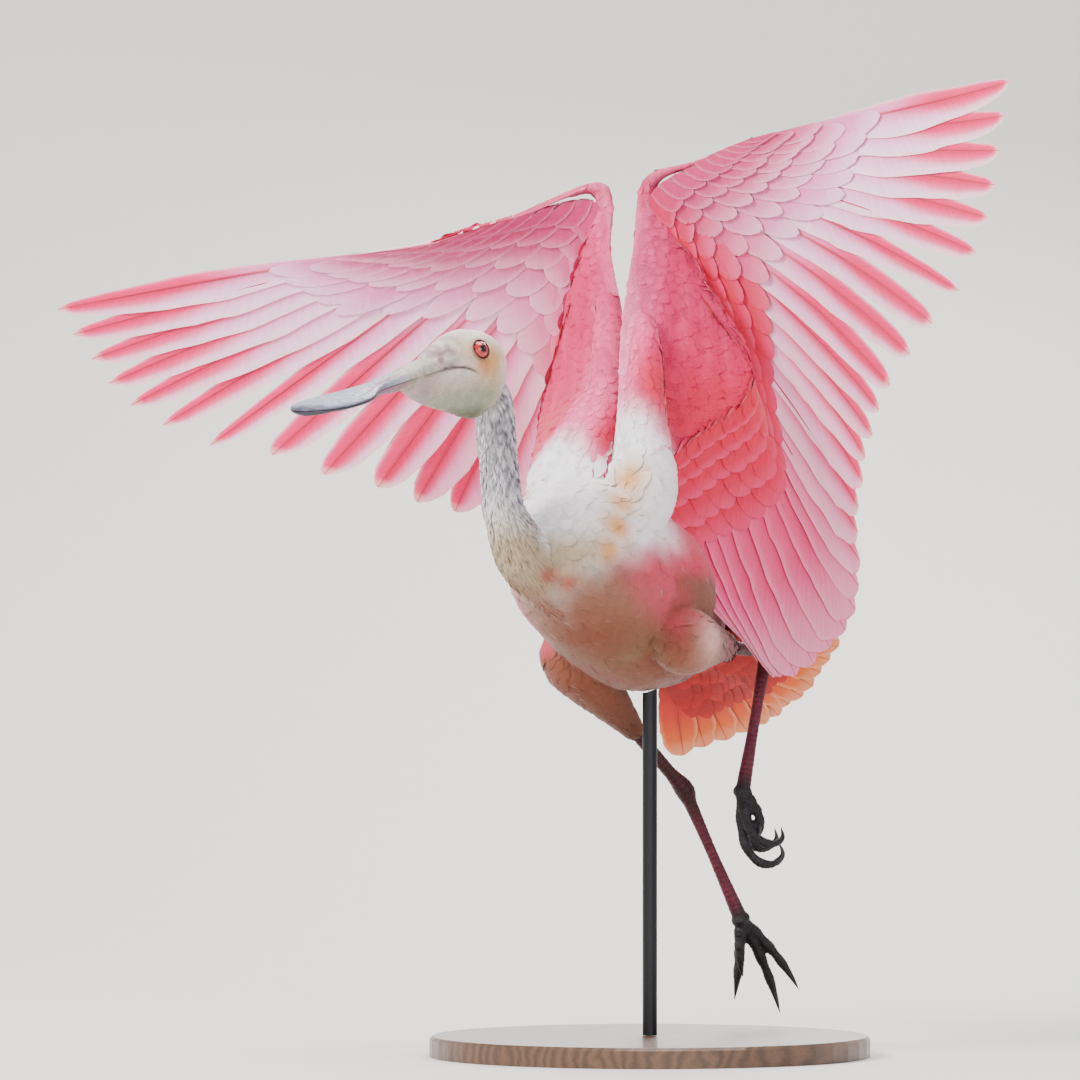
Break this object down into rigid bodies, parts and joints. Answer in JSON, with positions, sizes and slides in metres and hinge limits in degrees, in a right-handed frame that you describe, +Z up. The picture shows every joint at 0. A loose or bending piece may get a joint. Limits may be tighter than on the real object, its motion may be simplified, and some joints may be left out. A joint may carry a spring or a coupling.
{
  "type": "roseate spoonbill, life-size display model",
  "caption": "Life-size roseate spoonbill leaping with raised pink wings, long spoon-shaped bill and trailing legs, held by a rod on a round flat display base.",
  "frame": {"origin": "centre of the display base's underside", "axes": "+Z up, the bird heads towards -Y and its left side is +X"},
  "size_m": [0.7201, 0.5727, 0.6564],
  "materials": {
    "white_plumage": "matte",
    "neck_plumage": "matte",
    "pink_plumage": "matte",
    "leg_plumage": "matte",
    "tail_plumage": "matte",
    "head_skin": "satin",
    "bill_horn": "satin",
    "leg_skin": "satin",
    "foot_skin": "satin",
    "iris": "gloss",
    "stand_wood": "satin",
    "stand_metal": "satin"
  },
  "bodies": {
    "root": {"torso": "white_plumage", "neck": "neck_plumage", "head": "head_skin", "eye_left": "iris", "eye_right": "iris", "bill_upper": "bill_horn", "bill_lower": "bill_horn", "wing_left_inner": "pink_plumage", "wing_left_outer": "pink_plumage", "wing_right_inner": "pink_plumage", "wing_right_outer": "pink_plumage", "tail": "tail_plumage", "leg_left_thigh": "leg_plumage", "leg_left_shank": "leg_skin", "leg_left_tarsus": "leg_skin", "leg_left_foot": "foot_skin", "leg_right_thigh": "leg_plumage", "leg_right_shank": "leg_skin", "leg_right_tarsus": "leg_skin", "leg_right_foot": "foot_skin", "stand_base": "stand_wood", "stand_rod": "stand_metal"}
  },
  "joints": []
}
